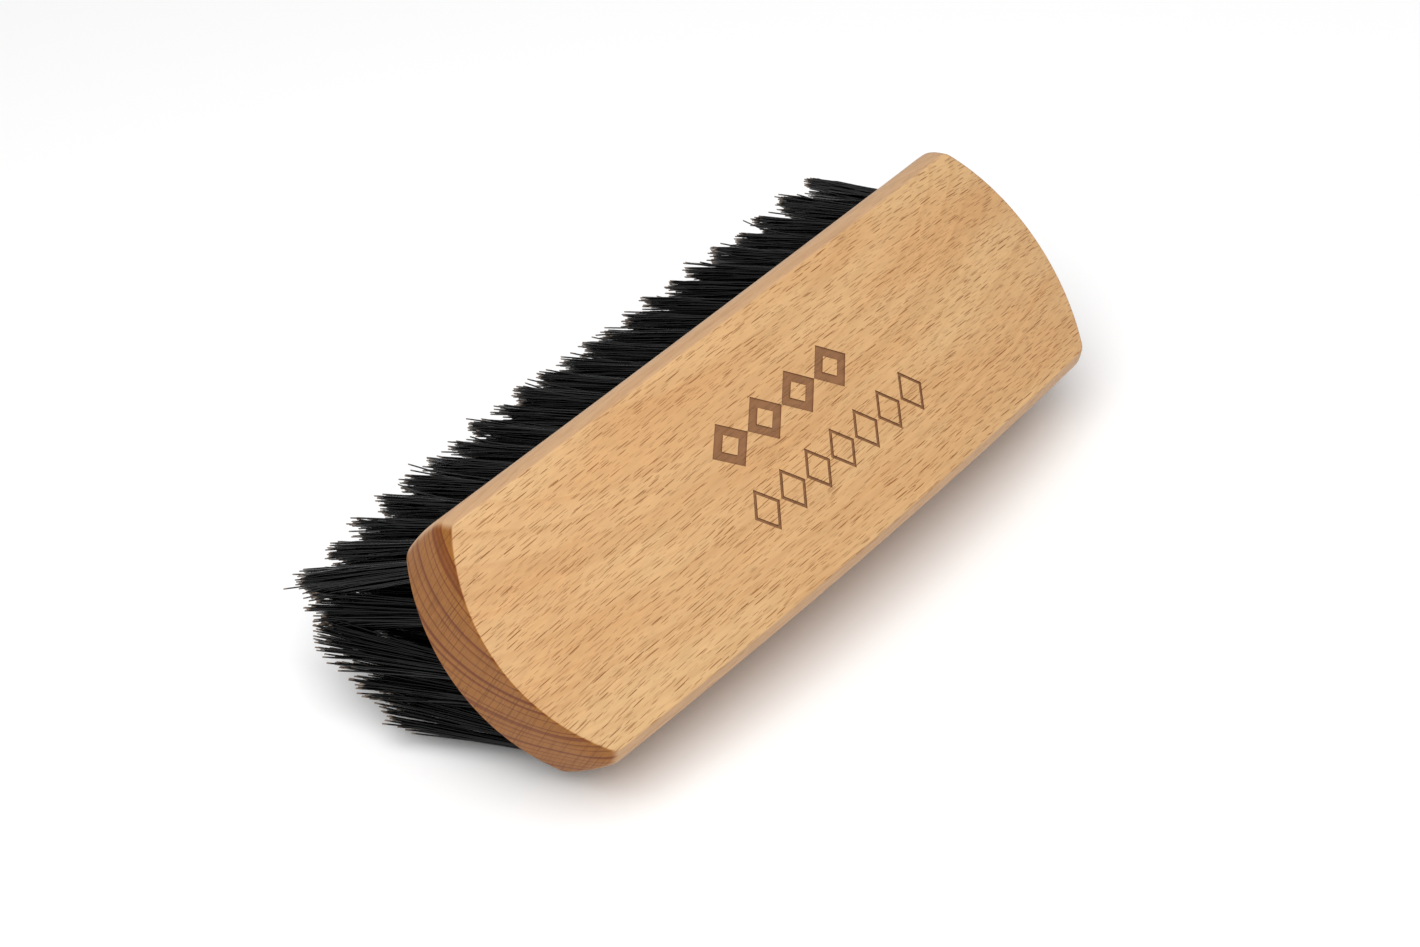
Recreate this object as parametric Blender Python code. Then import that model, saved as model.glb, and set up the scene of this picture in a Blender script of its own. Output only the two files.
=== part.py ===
"""Hand brush: a beech block with blind drilled holes, and a tuft of bristles set in each hole.

Metres, +Z up. The bristle tips stand on z = 0, X runs along the block and Y across it.
"""

import math

import bmesh
import bpy

# Block, seen from above
BLOCK_LENGTH = 0.165        # top face, over the two rounded ends
TOP_WIDTH = 0.053           # top face, edge to edge
END_SAGITTA = 0.0085        # how far each rounded end stands out past its corners
CORNER_RADIUS_TOP = 0.003
CORNER_RADIUS_BOTTOM = 0.0045

# Block, seen from the side and in section
BLOCK_HEIGHT = 0.028        # at the middle of the length
ARCH_DROP = 0.0095          # how much lower the top face is at its ends
END_FLARE = 0.0015          # how far each end face leans out, top to bottom
SIDE_BULGE = 0.0023         # widest line of a side, outside the top edge
BULGE_DEPTH = 0.0055        # that line's depth below the top edge
SIDE_TUCK = 0.0014          # how far the side comes back in at the bottom

# Bristle field
BRISTLE_LENGTH = 0.033      # free length, from the block to the tips
ROWS = 5
TUFTS_PER_ROW = 23          # every second row holds one fewer, set between its neighbours
SIDE_MARGIN = 0.0059        # from an outer row to the block's bottom edge
END_MARGIN = 0.0055         # from the last tuft of a row to the block's end
HOLE_RADIUS = 0.0023
HOLE_DEPTH = 0.009
TUFT_CLEARANCE = 0.0003     # round the root and above it
TUFT_GAP = 0.0006           # between the tips of neighbouring single tufts
TIP_OVERLAP = 0.0005        # how far the tips of a joined row run into each other
TIP_RADIUS_ACROSS = 0.0045  # a tuft opens into an oval, wider across the block
TIP_ROUNDING = 0.0025       # height over which the tip draws in
TIP_SHARE = 0.6             # width left at the very end of the tip
SPLAY_ACROSS = math.radians(12.0)  # lean of the outer rows
SPLAY_ALONG = math.radians(10.0)   # lean of the last tufts of a row

CIRCLE_SIDES = 8
SIDE_SEGMENTS = 10
END_SEGMENTS = 6
CORNER_SEGMENTS = 3
CUT_OVERRUN = 0.001

BEECH = (0.68, 0.42, 0.21)
BRISTLE = (0.012, 0.012, 0.013)


def clear_scene():
    for old in list(bpy.data.objects):
        bpy.data.objects.remove(old, do_unlink=True)


def new_collection(name):
    collection = bpy.data.collections.new(name)
    bpy.context.scene.collection.children.link(collection)
    return collection


def material(name, color, roughness):
    made = bpy.data.materials.new(name)
    made.use_nodes = True
    shader = made.node_tree.nodes["Principled BSDF"]
    shader.inputs["Base Color"].default_value = (*color, 1.0)
    shader.inputs["Roughness"].default_value = roughness
    shader.inputs["Metallic"].default_value = 0.0
    made.diffuse_color = (*color, 1.0)
    return made


def object_from(bm, name, collection, surface=None):
    bmesh.ops.recalc_face_normals(bm, faces=bm.faces)
    mesh = bpy.data.meshes.new(name)
    bm.to_mesh(mesh)
    bm.free()
    if surface:
        mesh.materials.append(surface)
    made = bpy.data.objects.new(name, mesh)
    collection.objects.link(made)
    return made


# --- The block ---------------------------------------------------------------

HALF_TOP = BLOCK_LENGTH / 2
HALF_SIDE = HALF_TOP - END_SAGITTA              # where a long side would meet its end
BOTTOM_HALF_WIDTH = TOP_WIDTH / 2 + SIDE_BULGE - SIDE_TUCK
BLOCK_BOTTOM = BRISTLE_LENGTH
BLOCK_TOP = BLOCK_BOTTOM + BLOCK_HEIGHT


def end_arc_radius(half_width):
    return (half_width**2 + END_SAGITTA**2) / (2 * END_SAGITTA)


def half_outline(half_side, half_width, corner):
    """Points of the outline's +Y half, from the middle of the +X end to the middle of the -X end."""
    radius = end_arc_radius(half_width)
    centre_x = half_side + END_SAGITTA - radius
    corner_y = half_width - corner
    corner_x = centre_x + math.sqrt((radius - corner) ** 2 - corner_y**2)
    meet = math.atan2(corner_y, corner_x - centre_x)
    points = []
    for i in range(END_SEGMENTS):
        angle = meet * i / END_SEGMENTS
        points.append((centre_x + radius * math.cos(angle), radius * math.sin(angle)))
    for i in range(CORNER_SEGMENTS):
        angle = meet + (math.pi / 2 - meet) * i / CORNER_SEGMENTS
        points.append((corner_x + corner * math.cos(angle), corner_y + corner * math.sin(angle)))
    for i in range(SIDE_SEGMENTS):
        points.append((corner_x * (1 - i / SIDE_SEGMENTS), half_width))
    points.append((0.0, half_width))
    return points + [(-x, y) for x, y in reversed(points[:-1])]


def top_height(x):
    return BLOCK_TOP - ARCH_DROP * (x / HALF_TOP) ** 2


def block_ring(down, widening, depth_of):
    """One level of the block. down runs from 0 at the top to 1 at the bottom."""
    corner = CORNER_RADIUS_TOP + (CORNER_RADIUS_BOTTOM - CORNER_RADIUS_TOP) * down
    outline = half_outline(HALF_SIDE + END_FLARE * down, TOP_WIDTH / 2 + widening, corner)
    return [(x, y, depth_of(top_height(x))) for x, y in outline]


def block_rings():
    rings = []
    for step in range(5):
        share = step / 4
        rings.append(
            block_ring(
                0.35 * share,
                SIDE_BULGE * math.sin(share * math.pi / 2),
                lambda top, share=share: top - share * BULGE_DEPTH,
            )
        )
    for step in range(1, 4):
        share = step / 3
        rings.append(
            block_ring(
                0.35 + 0.65 * share,
                SIDE_BULGE - SIDE_TUCK * share**2,
                lambda top, share=share: (top - BULGE_DEPTH) * (1 - share) + BLOCK_BOTTOM * share,
            )
        )
    return rings


def cap(bm, ring, half_count):
    """Closes a ring with strips across the width, so that it can be arched along the length."""
    for i in range(half_count - 1):
        corners = [ring[i], ring[i + 1], ring[-i - 1], ring[-i]]
        bm.faces.new(list(dict.fromkeys(corners)))


def skin(bm, rings):
    """Joins closed rings of points, one to the next, and returns their vertices."""
    made = [[bm.verts.new(point) for point in ring] for ring in rings]
    for upper, lower in zip(made, made[1:]):
        for i in range(len(upper)):
            j = (i + 1) % len(upper)
            bm.faces.new((upper[i], upper[j], lower[j], lower[i]))
    return made


def block_mesh():
    bm = bmesh.new()
    halves = block_rings()
    rings = [half + [(x, -y, z) for x, y, z in reversed(half[1:-1])] for half in halves]
    made = skin(bm, rings)
    for ring in (made[0], made[-1]):
        cap(bm, ring, len(halves[0]))
    return bm


# --- The tufts ---------------------------------------------------------------


class Place:
    """Where one tuft leaves the block, and how it leans."""

    def __init__(self, row, index, x, y, x_end):
        self.row = row
        self.index = index
        self.x = x
        self.y = y
        self.lean_y = math.tan(SPLAY_ACROSS * y / ROW_REACH)
        self.lean_x = math.tan(SPLAY_ALONG * (x / x_end) ** 3)

    def centre(self, z):
        below = BLOCK_BOTTOM - z
        return (self.x + self.lean_x * below, self.y + self.lean_y * below, z)


ROW_REACH = BOTTOM_HALF_WIDTH - SIDE_MARGIN
ROW_PITCH = 2 * ROW_REACH / (ROWS - 1)


def row_end(y):
    """How far a row reaches along the block, so that the field follows the rounded end."""
    radius = end_arc_radius(BOTTOM_HALF_WIDTH)
    end = HALF_TOP + END_FLARE - radius + math.sqrt(radius**2 - y**2)
    return end - END_MARGIN


def tuft_pitch(y):
    return 2 * row_end(y) / (TUFTS_PER_ROW - 1)


def row_places(row):
    y = -ROW_REACH + row * ROW_PITCH
    pitch = tuft_pitch(y)
    count = TUFTS_PER_ROW - row % 2
    return [
        Place(row, i + 1, (i - (count - 1) / 2) * pitch, y, row_end(y))
        for i in range(count)
    ]


def stack(bm, place, levels):
    """A slanted round bar: level by level, each given as a height, a half length and a half width."""
    rings = []
    for z, along, across in levels:
        x, y, z = place.centre(z)
        turns = [2 * math.pi * i / CIRCLE_SIDES for i in range(CIRCLE_SIDES)]
        rings.append([(x + along * math.cos(t), y + across * math.sin(t), z) for t in turns])
    skinned = skin(bm, rings)
    bm.faces.new(skinned[0])
    bm.faces.new(skinned[-1])


def tip_spacings(places, place):
    """Distances along the row from this tuft's tip to the tips on either side of it."""
    centres = [other.centre(TIP_ROUNDING)[0] for other in places]
    gaps = [after - before for before, after in zip(centres, centres[1:])]
    at = places.index(place)
    return gaps[max(at - 1, 0):at + 1]


def tuft_levels(places, place, joined):
    """Root in its hole, then an oval that opens towards the tip."""
    root = HOLE_RADIUS - TUFT_CLEARANCE
    spacings = tip_spacings(places, place)
    if joined:
        tip = (max(spacings) / 2 + TIP_OVERLAP) / math.cos(math.pi / CIRCLE_SIDES)
    else:
        tip = (min(spacings) - TUFT_GAP) / 2
    return [
        (BLOCK_BOTTOM + HOLE_DEPTH - TUFT_CLEARANCE, root, root),
        (BLOCK_BOTTOM, root, root),
        (TIP_ROUNDING, tip, TIP_RADIUS_ACROSS),
        (0.0, tip * TIP_SHARE, TIP_RADIUS_ACROSS * TIP_SHARE),
    ]


def single_tuft(places, place, name, collection, surface):
    bm = bmesh.new()
    stack(bm, place, tuft_levels(places, place, joined=False))
    return object_from(bm, name, collection, surface)


def joined_row(places, name, collection, cutters, surface):
    """An inner row whose tips run together: its odd tufts and its even tufts, joined by a Boolean."""
    halves = []
    for first in (0, 1):
        bm = bmesh.new()
        for place in places[first::2]:
            stack(bm, place, tuft_levels(places, place, joined=True))
        halves.append(bm)
    row = object_from(halves[0], name, collection, surface)
    others = object_from(halves[1], name + "_even_tufts", cutters)
    hide_helper(others)
    union = row.modifiers.new("join_tips", "BOOLEAN")
    union.operation = "UNION"
    union.object = others
    return row


def hide_helper(helper):
    helper.hide_render = True
    helper.display_type = "WIRE"


def drill_holes(block, places, cutters):
    bm = bmesh.new()
    for place in places:
        stack(
            bm,
            place,
            [
                (BLOCK_BOTTOM + HOLE_DEPTH, HOLE_RADIUS, HOLE_RADIUS),
                (BLOCK_BOTTOM - CUT_OVERRUN, HOLE_RADIUS, HOLE_RADIUS),
            ],
        )
    drills = object_from(bm, "tuft_hole_drills", cutters)
    hide_helper(drills)
    cut = block.modifiers.new("tuft_holes", "BOOLEAN")
    cut.operation = "DIFFERENCE"
    cut.object = drills


def main():
    clear_scene()
    parts = new_collection("hand_brush")
    cutters = new_collection("cutters")
    beech = material("beech", BEECH, 0.45)
    bristle = material("bristle", BRISTLE, 0.5)

    rows = [row_places(row) for row in range(ROWS)]
    block = object_from(block_mesh(), "handle_block", parts, beech)
    drill_holes(block, [place for row in rows for place in row], cutters)

    for side, row in (("right", rows[0]), ("left", rows[-1])):
        for place in row:
            single_tuft(row, place, f"tuft_{side}_{place.index:02d}", parts, bristle)
    for number, row in enumerate(rows[1:-1], start=2):
        joined_row(row, f"tuft_row_{number}", parts, cutters, bristle)


main()
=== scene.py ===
# %% [markdown]
# # A beech clothes brush with black bristles
#
# The real brush is one block of beech and 113 bundles of black fibre. Such a brush has a small wire anchor
# in the bottom of every drilled hole. The imported model already holds the block and the bundles as plain
# solids. This lesson builds the surfaces that are seen: the shaped block with its grain and its burnt
# border, every single strand, and the anchors.
#
# We start by loading the model. What we build stands out of the box it fills only a little, as the
# leaning strands do on the left. What we build may stand out of it only a little, as the leaning strands
# do on the left.

# %% Load the imported model
import math

import bmesh
import bpy
from mathutils import Matrix, Vector


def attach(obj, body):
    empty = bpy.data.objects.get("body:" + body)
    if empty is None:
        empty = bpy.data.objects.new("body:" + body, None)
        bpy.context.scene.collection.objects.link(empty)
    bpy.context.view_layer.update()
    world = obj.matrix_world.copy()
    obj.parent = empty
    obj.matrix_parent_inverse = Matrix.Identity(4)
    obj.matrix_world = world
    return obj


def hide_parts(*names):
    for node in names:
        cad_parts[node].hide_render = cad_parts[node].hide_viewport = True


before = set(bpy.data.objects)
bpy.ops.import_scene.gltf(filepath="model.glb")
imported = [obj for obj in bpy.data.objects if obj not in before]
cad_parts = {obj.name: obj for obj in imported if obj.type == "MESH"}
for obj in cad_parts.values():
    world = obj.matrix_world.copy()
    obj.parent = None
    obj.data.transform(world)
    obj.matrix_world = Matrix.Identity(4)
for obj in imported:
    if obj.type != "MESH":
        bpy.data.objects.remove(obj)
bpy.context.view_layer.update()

# %% [markdown]
# ## Where the camera stands
#
# The brush is looked at from above its near end, a little from the left, with a short telephoto lens. A
# camera is turned by a matrix: its first column is the camera's right, the second its up, and the third
# points back out of the lens.

# %% Camera
LENS = 60.2
NEAREST_SEEN = 0.01
BRUSH_MIDDLE = Vector((0, 0, 0.04))
CAMERA_PLACE = Vector((-0.25959, 0.0442, 0.45944))
CAMERA_BACK = Vector((-0.5034, 0.08547, 0.85982)).normalized()
ROUGHLY_RIGHT = Vector((0.674, -0.58381, 0.45264)).normalized()
CAMERA_UP = CAMERA_BACK.cross(ROUGHLY_RIGHT).normalized()
CAMERA_RIGHT = CAMERA_UP.cross(CAMERA_BACK)

camera_data = bpy.data.cameras.new("camera")
camera_data.lens = LENS
camera_data.clip_start = NEAREST_SEEN
camera = bpy.data.objects.new("camera", camera_data)
turn = Matrix((CAMERA_RIGHT, CAMERA_UP, CAMERA_BACK)).transposed()
camera.matrix_world = Matrix.Translation(CAMERA_PLACE) @ turn.to_4x4()
bpy.context.scene.collection.objects.link(camera)
bpy.context.scene.camera = camera
print("camera stands", round((CAMERA_PLACE - BRUSH_MIDDLE).length, 3), "m from the brush")

# %% [markdown]
# ## Small helpers for nodes
#
# Materials and Geometry Nodes are both built from nodes and links. A few short functions keep that
# readable. The first gives an input its value, or links it to another node. The second adds a node and
# fills its inputs that way. The others add one kind of node each and hand back its result.

# %% Node helpers
MIX_SHARE, MIX_FIRST, MIX_SECOND, MIX_RESULT = 0, 6, 7, 2  # a Mix node's sockets when it mixes colours


def feed(tree, socket, value):
    if isinstance(value, bpy.types.NodeSocket):
        tree.links.new(value, socket)
    else:
        socket.default_value = value


def add_node(tree, kind, inputs=None, **settings):
    made = tree.nodes.new(kind)
    for name, value in settings.items():
        setattr(made, name, value)
    for key, value in (inputs or {}).items():
        feed(tree, made.inputs[key], value)
    return made


def maths(tree, operation, *values, clamp=False):
    made = add_node(tree, "ShaderNodeMath", dict(enumerate(values)), operation=operation)
    made.use_clamp = clamp
    return made.outputs[0]


def vectors(tree, operation, *values, scale=None):
    made = add_node(tree, "ShaderNodeVectorMath", dict(enumerate(values)), operation=operation)
    if scale is not None:
        feed(tree, made.inputs["Scale"], scale)
    return made.outputs["Value" if operation in ("LENGTH", "DOT_PRODUCT") else "Vector"]


def ramp(tree, value, low, high, to_low=0.0, to_high=1.0):
    made = add_node(
        tree,
        "ShaderNodeMapRange",
        {"Value": value, "From Min": low, "From Max": high, "To Min": to_low, "To Max": to_high},
        interpolation_type="SMOOTHSTEP",
    )
    return made.outputs["Result"]


def mix_colours(tree, share, first, second, blend="MIX"):
    made = add_node(tree, "ShaderNodeMix", data_type="RGBA", blend_type=blend)
    for key, value in ((MIX_SHARE, share), (MIX_FIRST, first), (MIX_SECOND, second)):
        feed(tree, made.inputs[key], value)
    return made.outputs[MIX_RESULT]


def noise(tree, place, scale=1.0, detail=3.0):
    """A cloudy pattern in space: its plain value, and its colour, which is three values at once."""
    made = add_node(tree, "ShaderNodeTexNoise", {"Vector": place, "Scale": scale, "Detail": detail})
    return made.outputs[0], made.outputs["Color"]


def colour(red, green, blue):
    """A colour as a paint chart gives it, 0 to 255, turned into the linear values that shaders use."""
    parts = [part / 255 for part in (red, green, blue)]
    linear = [p / 12.92 if p <= 0.04045 else ((p + 0.055) / 1.055) ** 2.4 for p in parts]
    return (*linear, 1.0)


print("helpers ready; beech honey is", [round(c, 3) for c in colour(222, 178, 122)])

# %% [markdown]
# ## The sizes of the block
#
# The block is a bar with straight sides and bowed ends. Its top is arched along its length, its sides
# swell a little below the top edge, and then draw in towards the flat underside that the holes are
# drilled into. All of the shape follows from these few numbers, in metres.

# %% Block sizes
BLOCK_LENGTH = 0.165
TOP_WIDTH = 0.053
END_SAGITTA = 0.0085
TOP_CORNER = 0.003
BOTTOM_CORNER = 0.0045
BLOCK_BOTTOM = 0.033
BLOCK_TOP = 0.061
ARCH_DROP = 0.0095
END_FLARE = 0.0015
SIDE_BULGE = 0.0023
BULGE_DEPTH = 0.0055
SIDE_TUCK = 0.0014
HALF_TOP = BLOCK_LENGTH / 2
HALF_SIDE = HALF_TOP - END_SAGITTA
BOTTOM_HALF_WIDTH = TOP_WIDTH / 2 + SIDE_BULGE - SIDE_TUCK


def top_height(x):
    return BLOCK_TOP - ARCH_DROP * (x / HALF_TOP) ** 2


def end_arc_radius(half_width):
    return (half_width**2 + END_SAGITTA**2) / (2 * END_SAGITTA)


print("the ends are arcs of", round(end_arc_radius(TOP_WIDTH / 2) * 1000, 1), "mm radius")

# %% [markdown]
# ## One outline of the block
#
# Seen from above, half of the outline runs from the middle of the near end, round a corner, along the
# left side, round the other corner and back to the middle of the far end. Each ring of the block is such
# an outline, with its own width, so one function draws them all.

# %% Outline of one ring
ARC_STEPS = 22
CORNER_STEPS = 7
SIDE_STEPS = 26


def half_outline(half_side, half_width, corner):
    radius = end_arc_radius(half_width)
    centre_x = half_side + END_SAGITTA - radius
    corner_y = half_width - corner
    corner_x = centre_x + math.sqrt((radius - corner) ** 2 - corner_y**2)
    meet = math.atan2(corner_y, corner_x - centre_x)
    quarter = []
    for step in range(ARC_STEPS):
        angle = meet * step / ARC_STEPS
        quarter.append((centre_x + radius * math.cos(angle), radius * math.sin(angle)))
    for step in range(CORNER_STEPS):
        angle = meet + (math.pi / 2 - meet) * step / CORNER_STEPS
        quarter.append((corner_x + corner * math.cos(angle), corner_y + corner * math.sin(angle)))
    for step in range(SIDE_STEPS):
        quarter.append((corner_x * (1 - step / SIDE_STEPS), half_width))
    return [(-x, y) for x, y in quarter] + [(0.0, half_width)] + quarter[::-1]


print(len(half_outline(HALF_SIDE, TOP_WIDTH / 2, TOP_CORNER)), "points on half an outline")

# %% [markdown]
# ## The rings from top to bottom
#
# A maker shapes such a block on a spindle moulder and then eases its edges with sandpaper. Rings of the
# outline are stacked to follow that profile, with a few close together where the edges are eased, so
# that the light catches them as it does on real wood.

# %% Profile of the block
TOP_EASE = 0.00035
BOTTOM_EASE = 0.0007
EASE_STEPS = 4
SIDE_RINGS = 10       # above the widest line, and as many below it
EASE_STARTS = 0.985   # share of the way down from the widest line
DOWN_AT_BULGE = 0.35  # how far the corners and the ends have changed by the widest line


def profile():
    """Each ring as its drop below the top, its inset, and its share of the way from there to the bottom."""
    rings = []
    for step in range(EASE_STEPS + 1):
        angle = math.pi / 2 * step / EASE_STEPS
        drop = TOP_EASE * (1 - math.cos(angle))
        rings.append((drop, TOP_EASE * (1 - math.sin(angle)), None))
    for step in range(1, SIDE_RINGS + 1):
        rings.append((TOP_EASE + (BULGE_DEPTH - TOP_EASE) * step / SIDE_RINGS, 0.0, None))
    for step in range(1, SIDE_RINGS + 1):
        rings.append((BULGE_DEPTH, 0.0, EASE_STARTS * step / SIDE_RINGS))
    for step in range(1, EASE_STEPS + 1):
        angle = math.pi / 2 * step / EASE_STEPS
        low = EASE_STARTS + (1 - EASE_STARTS) * math.sin(angle)
        rings.append((BULGE_DEPTH, BOTTOM_EASE * (1 - math.cos(angle)), low))
    return rings


def ring_points(drop, inset, low):
    if low is None:
        share = drop / BULGE_DEPTH
        down = DOWN_AT_BULGE * share
        widening = SIDE_BULGE * math.sin(share * math.pi / 2)
    else:
        down = DOWN_AT_BULGE + (1 - DOWN_AT_BULGE) * low
        widening = SIDE_BULGE - SIDE_TUCK * low**2
    corner = TOP_CORNER + (BOTTOM_CORNER - TOP_CORNER) * down
    half_side = HALF_SIDE + END_FLARE * down - inset
    half_width = TOP_WIDTH / 2 + widening - inset
    points = []
    for x, y in half_outline(half_side, half_width, corner - inset):
        z = top_height(x) - drop
        if low is not None:
            z = z * (1 - low) + BLOCK_BOTTOM * low
        points.append((x, y, z))
    return points


print(len(profile()), "rings")

# %% [markdown]
# ## The block as one closed skin
#
# Neighbouring rings are joined by quads all the way round, and the top and the underside are closed by
# strips across the width. The strips work because a point on the left side has its mirror image on the
# right at the same height.

# %% Loft the block
def new_piece(name, mesh, *materials):
    piece = bpy.data.objects.new(name, mesh)
    bpy.context.scene.collection.objects.link(piece)
    for material in materials:
        mesh.materials.append(material)
    return piece


def block_shell():
    build = bmesh.new()
    loops = []
    for ring in profile():
        half = ring_points(*ring)
        left = [build.verts.new(point) for point in half]
        right = [build.verts.new((x, -y, z)) for x, y, z in half[1:-1]]
        loops.append((left, [left[0]] + right + [left[-1]]))
    for (left_a, right_a), (left_b, right_b) in zip(loops, loops[1:]):
        for k in range(len(left_a) - 1):
            build.faces.new((left_a[k], left_a[k + 1], left_b[k + 1], left_b[k]))
            build.faces.new((right_a[k], right_b[k], right_b[k + 1], right_a[k + 1]))
    for left, right in (loops[0], loops[-1]):
        for k in range(len(left) - 1):
            corners = []
            for corner in (left[k], left[k + 1], right[k + 1], right[k]):
                if corner not in corners:
                    corners.append(corner)
            build.faces.new(corners)
    bmesh.ops.recalc_face_normals(build, faces=build.faces)
    mesh = bpy.data.meshes.new("wood_block")
    build.to_mesh(mesh)
    build.free()
    return mesh


block_mesh = block_shell()
print("block shell:", len(block_mesh.polygons), "faces")

# %% [markdown]
# ## Where the bundles stand
#
# The holes are drilled in five rows that lie staggered, 23 holes and 22 in turn. Every row stops the
# same distance short of the bowed end, so the middle rows are a little longer.

# %% Bundle places
ROWS = 5
BUNDLES_IN_ROW = 23
SIDE_MARGIN = 0.0059
END_MARGIN = 0.0055
HOLE_RADIUS = 0.0023
HOLE_DEPTH = 0.009
ROW_REACH = BOTTOM_HALF_WIDTH - SIDE_MARGIN


def bundle_rows():
    radius = end_arc_radius(BOTTOM_HALF_WIDTH)
    rows = []
    for row in range(ROWS):
        y = -ROW_REACH + row * 2 * ROW_REACH / (ROWS - 1)
        reach = HALF_TOP + END_FLARE - radius + math.sqrt(radius**2 - y**2) - END_MARGIN
        pitch = 2 * reach / (BUNDLES_IN_ROW - 1)
        count = BUNDLES_IN_ROW - row % 2
        rows.append([((k - (count - 1) / 2) * pitch, y) for k in range(count)])
    return rows


rows = bundle_rows()
print("bundles in each row:", [len(row) for row in rows])

# %% [markdown]
# ## A cutter for the holes and the burnt border
#
# A hole is a plain round drilling, about twice as deep as wide, with the drill's short point at its
# bottom. The border on top is a row of bold lozenges beside a row of slim ones, burnt a third of a
# millimetre into the wood. Both are cut from the block by a Boolean: the cutter is one mesh of many
# separate closed shapes, and its faces leave their material behind in the cut.

# %% Cutters
HOLE_SIDES = 16
DRILL_POINT = 0.0008
CUT_OVERRUN = 0.001   # how far a cutter stands out of the wood
BURN_DEPTH = 0.00032
BURN_STEPS = 5        # points along each side of a lozenge, so that it follows the arch


def round_drilling(build, x, y):
    bottom, top = BLOCK_BOTTOM - CUT_OVERRUN, BLOCK_BOTTOM + HOLE_DEPTH
    turns = [2 * math.pi * k / HOLE_SIDES for k in range(HOLE_SIDES)]
    circle = [(x + HOLE_RADIUS * math.cos(a), y + HOLE_RADIUS * math.sin(a)) for a in turns]
    low, high = [[build.verts.new((*spot, z)) for spot in circle] for z in (bottom, top)]
    point = build.verts.new((x, y, top + DRILL_POINT))
    build.faces.new(low[::-1])
    for k in range(HOLE_SIDES):
        nxt = (k + 1) % HOLE_SIDES
        build.faces.new((low[k], low[nxt], high[nxt], high[k]))
        build.faces.new((high[k], high[nxt], point))


def lozenge(centre_x, centre_y, half_x, half_y):
    corners = [(half_x, 0), (0, half_y), (-half_x, 0), (0, -half_y)]
    points = []
    for (xa, ya), (xb, yb) in zip(corners, corners[1:] + corners[:1]):
        for step in range(BURN_STEPS):
            share = step / BURN_STEPS
            points.append((centre_x + xa + (xb - xa) * share, centre_y + ya + (yb - ya) * share))
    return points


def burnt_lozenge(build, centre_x, centre_y, half_x, half_y, line):
    """A lozenge frame whose floor follows the arched top at an even depth."""
    slope = math.hypot(half_x, half_y)
    inner_x, inner_y = half_x - line * slope / half_y, half_y - line * slope / half_x
    loops = []
    for across, along in ((half_x, half_y), (inner_x, inner_y)):
        flat = lozenge(centre_x, centre_y, across, along)
        loops.append([build.verts.new((x, y, top_height(x) - BURN_DEPTH)) for x, y in flat])
        loops.append([build.verts.new((x, y, top_height(x) + CUT_OVERRUN)) for x, y in flat])
    outer_low, outer_high, inner_low, inner_high = loops
    for k in range(len(outer_low)):
        nxt = (k + 1) % len(outer_low)
        build.faces.new((outer_low[k], outer_low[nxt], outer_high[nxt], outer_high[k]))
        build.faces.new((inner_low[nxt], inner_low[k], inner_high[k], inner_high[nxt]))
        build.faces.new((outer_low[nxt], outer_low[k], inner_low[k], inner_low[nxt]))
        build.faces.new((outer_high[k], outer_high[nxt], inner_high[nxt], inner_high[k]))


def cutter_mesh(name, fill):
    build = bmesh.new()
    fill(build)
    bmesh.ops.recalc_face_normals(build, faces=build.faces)
    mesh = bpy.data.meshes.new(name)
    build.to_mesh(mesh)
    build.free()
    return mesh


def all_drillings(build):
    for row in rows:
        for x, y in row:
            round_drilling(build, x, y)


# each row of the border: how many, the first one's place, the pitch, and half length, half width and line
BORDER_ROWS = (
    (4, (-0.0185, 0.0064), 0.0100, (0.0050, 0.0052, 0.0019)),
    (7, (-0.0202, -0.0082), 0.0075, (0.0035, 0.0049, 0.00065)),
)


def whole_border(build):
    for count, (first_x, y), pitch, size in BORDER_ROWS:
        for k in range(count):
            burnt_lozenge(build, first_x + k * pitch, y, *size)


drill_mesh = cutter_mesh("drillings", all_drillings)
border_mesh = cutter_mesh("border_cutter", whole_border)
print("cutters:", len(drill_mesh.polygons), "and", len(border_mesh.polygons), "faces")

# %% [markdown]
# ## How beech looks
#
# Beech shows its rays and its rings differently on each face. Cut along the rings, as on this top, it
# shows hundreds of short brown dashes: the ends of its rays. Cut across, at the ends, the same rays are
# fine lines that cross the growth rings. On the sides the rays are kept faint. One pattern in space gives
# all three, and we build it in steps. The first is the growth rings: tilted, slightly dished layers, each
# darker towards its end.

# %% Growth rings
LAYER = 0.0031         # thickness of one year's growth, measured straight up
RING_TILT = 0.8        # how much a layer climbs across the block
RING_DISH = 12.0       # how much it curves
SEASON_DRIFT = 1.6     # how much the years differ in thickness
SEASON_SCALE = 0.7


def growth_rings(group, parts):
    tilted = maths(group, "MULTIPLY_ADD", parts["Y"], RING_TILT, parts["Z"])
    dished = maths(group, "MULTIPLY", maths(group, "MULTIPLY", parts["Y"], parts["Y"]), -RING_DISH)
    year = maths(group, "DIVIDE", maths(group, "ADD", tilted, dished), LAYER)
    season = add_node(
        group, "ShaderNodeTexNoise", {"W": year, "Scale": SEASON_SCALE}, noise_dimensions="1D"
    ).outputs[0]
    turns = maths(group, "FRACT", maths(group, "MULTIPLY_ADD", season, SEASON_DRIFT, year))
    late = ramp(group, turns, 0.5, 0.94)
    early = ramp(group, turns, 0.94, 1.0, 1.0, 0.0)
    return maths(group, "MULTIPLY", late, early)


print("a growth ring is", round(LAYER / math.hypot(1, RING_TILT) * 1000, 1), "mm thick on average")

# %% [markdown]
# ## Rays
#
# A ray is a flake: long along the wood, tall, and very thin across it. Space is divided into cells of
# about the size of a ray, with one flake round each cell's point. The flakes are bigger or smaller, and
# darker or paler, by chance. Three sizes of cell are laid over each other, and the longest is used on the
# ends only.

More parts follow.
